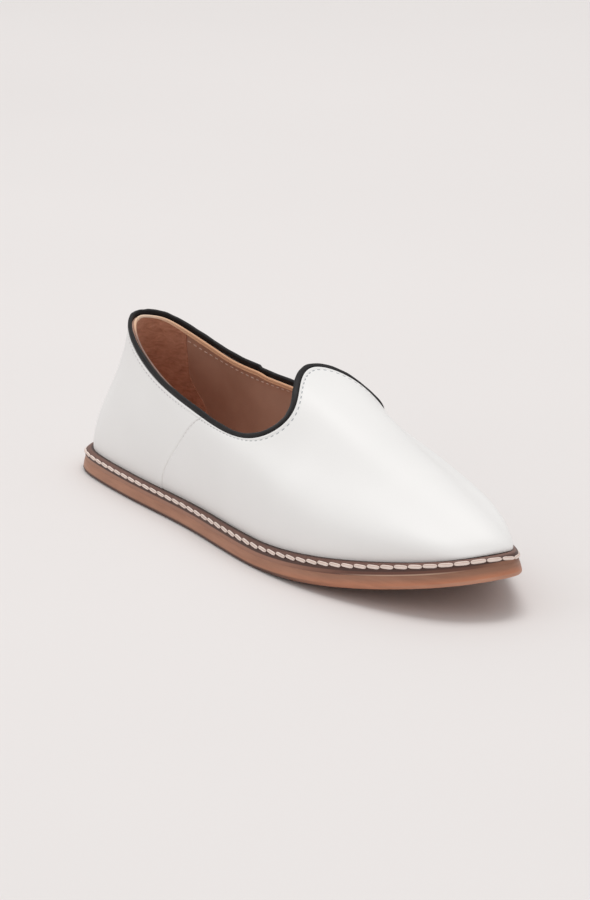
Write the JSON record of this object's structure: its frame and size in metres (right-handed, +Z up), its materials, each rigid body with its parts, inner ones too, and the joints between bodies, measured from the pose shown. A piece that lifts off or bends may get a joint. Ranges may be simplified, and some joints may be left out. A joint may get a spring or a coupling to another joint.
{
  "type": "flat slip-on shoe",
  "caption": "Low flat slip-on shoe for the right foot: hollow leather upper with a rounded tongue peak, bound collar, stitched leather midsole and thin rubber outsole.",
  "frame": {"origin": "on the floor, under the middle of the sole's length and width", "axes": "+X towards the toe, +Y towards the medial (inner) side, +Z up"},
  "size_m": [0.2558, 0.0804, 0.0665],
  "materials": {
    "caramel_rubber": "smooth satin crepe-coloured rubber",
    "brown_leather": "burnished edge leather",
    "tan_leather": "soft matt lining leather",
    "white_leather": "smooth satin",
    "black_leather": "soft satin"
  },
  "bodies": {
    "root": {"outsole": "caramel_rubber", "midsole": "brown_leather", "insole": "tan_leather", "upper": "white_leather", "collar_binding": "black_leather"}
  },
  "joints": []
}
